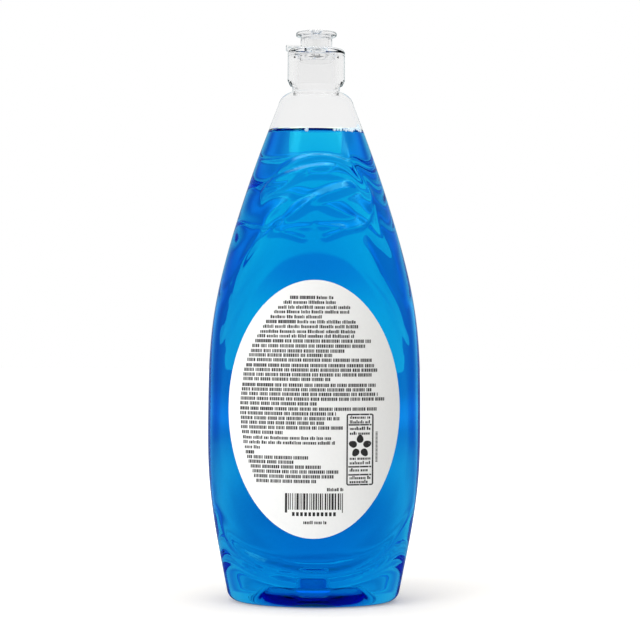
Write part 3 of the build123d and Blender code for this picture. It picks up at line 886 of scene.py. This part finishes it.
def tent_wall(tree, place):
    """Return the level of the tent's wall in a direction, and what gloss shows of it."""
    heading = add_node(tree, "ShaderNodeVectorMath", {"operation": "NORMALIZE"}, {0: place})
    parts = add_node(tree, "ShaderNodeSeparateXYZ", None, {"Vector": heading.outputs[0]})
    around = add_node(tree, "ShaderNodeMath", {"operation": "ARCTAN2"},
                      {0: parts.outputs["X"], 1: parts.outputs["Y"]})
    share = add_node(tree, "ShaderNodeMath", {"operation": "MULTIPLY_ADD"},
                     {0: around.outputs[0], 1: 0.5 / math.pi, 2: 0.5})
    wall = level_ramp(tree, share.outputs[0], [(0.5 + a / 360, level) for a, level in WALL_LEVELS])
    high = add_node(tree, "ShaderNodeMapRange", SOFT,
                    {"Value": parts.outputs["Z"], "From Min": 0.02, "From Max": 0.08})
    plain = add_node(tree, "ShaderNodeMix", {"data_type": "VECTOR"}, {"Factor": high.outputs[0]})
    tree.links.new(wall, plain.inputs[4])
    plain.inputs[5].default_value = HIGH_WALL_LEVEL
    behind = add_node(tree, "ShaderNodeMapRange", SOFT, {
        "Value": parts.outputs["Y"], "From Min": 0.45, "From Max": 0.95,
        "To Min": FRONT_LEVEL, "To Max": BACK_LEVEL,
    })
    tall = add_node(tree, "ShaderNodeMapRange", SOFT, {
        "Value": parts.outputs["Z"], "From Min": 0.35, "From Max": 0.6, "To Max": TALL_BOX_LEVEL})
    boxes = add_node(tree, "ShaderNodeMapRange", SOFT, {
        "Value": parts.outputs["Z"], "From Min": 0.78, "From Max": 0.9, "To Max": OVERHEAD_LEVEL})
    for angle in TALL_BOX_HEADINGS:
        gap = add_node(tree, "ShaderNodeMath", {"operation": "SUBTRACT"}, {0: around.outputs[0], 1: angle})
        gap = add_node(tree, "ShaderNodeMath", {"operation": "ABSOLUTE"}, {0: gap.outputs[0]})
        box = add_node(tree, "ShaderNodeMapRange", SOFT, {
            "Value": gap.outputs[0], "From Min": 0.08, "From Max": 0.24, "To Min": 1.0, "To Max": 0.0})
        boxes = add_node(tree, "ShaderNodeMath", {"operation": "MULTIPLY_ADD"},
                         {0: box.outputs[0], 1: tall.outputs[0], 2: boxes.outputs[0]})
    tinted = add_node(tree, "ShaderNodeVectorMath", {"operation": "SCALE"},
                      {0: BOX_TINT, "Scale": boxes.outputs[0]})
    cool = add_node(tree, "ShaderNodeVectorMath", {"operation": "SCALE"},
                    {0: BACK_TINT, "Scale": behind.outputs[0]})
    gloss = add_node(tree, "ShaderNodeVectorMath", {"operation": "ADD"},
                     {0: tinted.outputs[0], 1: cool.outputs[0]})
    return plain.outputs[1], gloss.outputs[0]


def level_for_ray(tree, path, through, camera, diffuse, gloss):
    """Return the level that each kind of ray meets."""
    plain = add_node(tree, "ShaderNodeMix", {"data_type": "FLOAT"},
                     {"Factor": path.outputs["Is Camera Ray"], "A": diffuse, "B": camera})
    level = plain.outputs["Result"]
    for flag, seen in (("Is Glossy Ray", gloss), ("Is Transmission Ray", through)):
        mix = add_node(tree, "ShaderNodeMix", {"data_type": "VECTOR"}, {"Factor": path.outputs[flag]})
        tree.links.new(level, mix.inputs[4])
        tree.links.new(seen, mix.inputs[5])
        level = mix.outputs[1]
    return level


# Floor. The sweep is matte white paper, which keeps the bottle's shadow, deepened by a painted shadow
# round the foot, and fades into the white ground.
# Its levels as clear pieces show them, at each distance from the bottle in metres. Under the foot it lies
# in shade, and further off it takes the wall's flags too.
FLOOR_REACH = 4
FLOOR_LEVELS = [
    (0.0, (0.10, 0.40, 0.30)), (0.045, (0.22, 0.46, 0.46)), (0.08, (0.46, 0.56, 0.74)),
    (0.2, (0.72, 0.84, 0.92)), (0.42, (0.52, 0.62, 0.78)), (0.92, (0.78, 0.92, 0.95)),
    (1.3, (1.0, 1.0, 1.0)), (1.75, (1.4, 1.4, 1.36)), (2.8, (1.0, 1.0, 1.0)),
]
bpy.ops.mesh.primitive_plane_add(size=2 * FLOOR_REACH, location=(0, 0, -0.1 * MM))
floor = bpy.context.object
floor.name = "studio_floor"
material, tree = new_material("white_paper_sweep")
path = add_node(tree, "ShaderNodeLightPath")
spot = add_node(tree, "ShaderNodeTexCoord")
wall, gloss = tent_wall(tree, spot.outputs["Object"])
run = add_node(tree, "ShaderNodeVectorMath", {"operation": "LENGTH"}, {0: spot.outputs["Object"]})
share = add_node(tree, "ShaderNodeMath", {"operation": "MULTIPLY"},
                 {0: run.outputs["Value"], 1: 1 / FLOOR_REACH})
near = level_ramp(tree, share.outputs[0], [(far / FLOOR_REACH, level) for far, level in FLOOR_LEVELS])
dimmed = add_node(tree, "ShaderNodeVectorMath", {"operation": "MULTIPLY"}, {0: wall, 1: wall})
distant = add_node(tree, "ShaderNodeMapRange", SOFT,
                   {"Value": run.outputs["Value"], "From Min": 0.6, "From Max": 1.5})
flagged = add_node(tree, "ShaderNodeMix", {"data_type": "VECTOR"}, {"Factor": distant.outputs[0]})
flagged.inputs[4].default_value = (1.0, 1.0, 1.0)
tree.links.new(dimmed.outputs[0], flagged.inputs[5])
through = add_node(tree, "ShaderNodeVectorMath", {"operation": "MULTIPLY"}, {0: near, 1: flagged.outputs[1]})
# The camera sees the paper as the lamps light it, with a glow added so that it ends in plain white. The
# glow is weaker near the bottle, growing from 0.04 m to 0.3 m: a painted shadow round the foot.
camera_glow_with_painted_shadow = add_node(tree, "ShaderNodeMapRange", None, {
    "Value": run.outputs["Value"], "From Min": 0.04, "From Max": 0.3, "To Min": 0.24, "To Max": 0.8})
level = level_for_ray(tree, path, through.outputs[0], camera_glow_with_painted_shadow.outputs[0], 0.0, gloss)
matte = add_node(tree, "ShaderNodeBsdfDiffuse", None, {"Color": linear("#F2EFE8")})
shade = add_node(tree, "ShaderNodeEmission", None, {"Color": level, "Strength": 1.0})
# Gloss sees the paper as dark grey, not white: painted shade that keeps its matte out of reflections
dark = add_node(tree, "ShaderNodeBsdfDiffuse", None, {"Color": linear("#202020")})
ground = add_node(tree, "ShaderNodeMixShader", None,
                  {0: path.outputs["Is Glossy Ray"], 1: matte.outputs[0], 2: dark.outputs[0]})
both = add_node(tree, "ShaderNodeAddShader", None, {0: ground.outputs[0], 1: shade.outputs[0]})
add_node(tree, "ShaderNodeOutputMaterial", None, {"Surface": both.outputs[0]})
floor.data.materials.append(material)

# Card. A white card stands behind the closure. Only clear pieces in front of it show it, and it hides the
# blue flags from the closure, so that the closure stays neutral.
CARD_SIZE, CARD_FOOT, CARD_BACK = 1.2, 0.228, 0.07
bpy.ops.mesh.primitive_plane_add(size=CARD_SIZE, location=(0, CARD_BACK, CARD_FOOT + CARD_SIZE / 2),
                                 rotation=(math.radians(90), 0, 0))
card = bpy.context.object
card.name = "studio_card"
material, tree = new_material("white_card")
grain = add_node(tree, "ShaderNodeTexNoise", None, {"Scale": 4.0, "Detail": 1.0})
level = add_node(tree, "ShaderNodeMapRange", None,
                 {"Value": grain.outputs["Fac"], "To Min": 0.93, "To Max": 0.97})
shade = add_node(tree, "ShaderNodeEmission", None,
                 {"Color": linear("#FFFFFF"), "Strength": level.outputs[0]})
add_node(tree, "ShaderNodeOutputMaterial", None, {"Surface": shade.outputs[0]})
card.data.materials.append(material)
card.visible_camera = False
card.visible_diffuse = False
card.visible_glossy = False
card.visible_shadow = False

# White ground behind the tent. Right above the floor its flags are lifted again, because the upper body
# bends that strip into view and is lighter than the belly.
LIFT_HEIGHT = 0.03
LIFT = (0.15, 0.45, 0.10)
world = bpy.data.worlds.new("white_studio")
bpy.context.scene.world = world
world.use_nodes = True
tree = world.node_tree
tree.nodes.clear()
path = add_node(tree, "ShaderNodeLightPath")
direction = add_node(tree, "ShaderNodeTexCoord")
wall, gloss = tent_wall(tree, direction.outputs["Generated"])
parts = add_node(tree, "ShaderNodeSeparateXYZ", None, {"Vector": direction.outputs["Generated"]})
low = add_node(tree, "ShaderNodeMapRange", SOFT, {
    "Value": parts.outputs["Z"], "From Min": 0.0, "From Max": LIFT_HEIGHT, "To Min": 1.0, "To Max": 0.0})
rise = add_node(tree, "ShaderNodeVectorMath", {"operation": "SCALE"}, {0: LIFT, "Scale": low.outputs[0]})
wall = add_node(tree, "ShaderNodeVectorMath", {"operation": "MULTIPLY_ADD"},
                {0: wall, 1: rise.outputs[0], 2: wall})
level = level_for_ray(tree, path, wall.outputs[0], 1.0, 0.55, gloss)
ground = add_node(tree, "ShaderNodeBackground", None, {"Color": level, "Strength": 1.0})
add_node(tree, "ShaderNodeOutputWorld", None, {"Surface": ground.outputs[0]})

# Lamps, both aimed at the middle of the bottle: a key at the left that throws the soft shadow to the
# right, and a weak fill overhead. Clear pieces don't show them, because the tent's boxes stand for them.
AIM = Vector((0, 0, 0.13))


def soft_box(name, place, size, power):
    """Add a square area lamp that clear pieces don't show."""
    data = bpy.data.lights.new(name, "AREA")
    data.shape = "SQUARE"
    data.size = size
    data.energy = power
    lamp = bpy.data.objects.new(name, data)
    bpy.context.scene.collection.objects.link(lamp)
    lamp.location = place
    lamp.rotation_euler = (AIM - Vector(place)).to_track_quat("-Z", "Y").to_euler()
    lamp.visible_glossy = False
    lamp.visible_transmission = False


soft_box("key_softbox", (-1.2, -1.0, 0.45), 1.0, 15.5)
soft_box("overhead_softbox", (0, -0.1, 1.3), 0.9, 5.0)

# Camera, level with the middle of the label, as in the photograph
camera_data = bpy.data.cameras.new("camera")
camera_data.lens = 103.5
camera_data.sensor_width = 36
camera = bpy.data.objects.new("camera", camera_data)
bpy.context.scene.collection.objects.link(camera)
camera.location = (0.0025, -0.88, 0.1339)
camera.rotation_euler = (math.radians(90), math.radians(-0.34), 0)
bpy.context.scene.camera = camera
bpy.context.scene.view_settings.view_transform = "Standard"
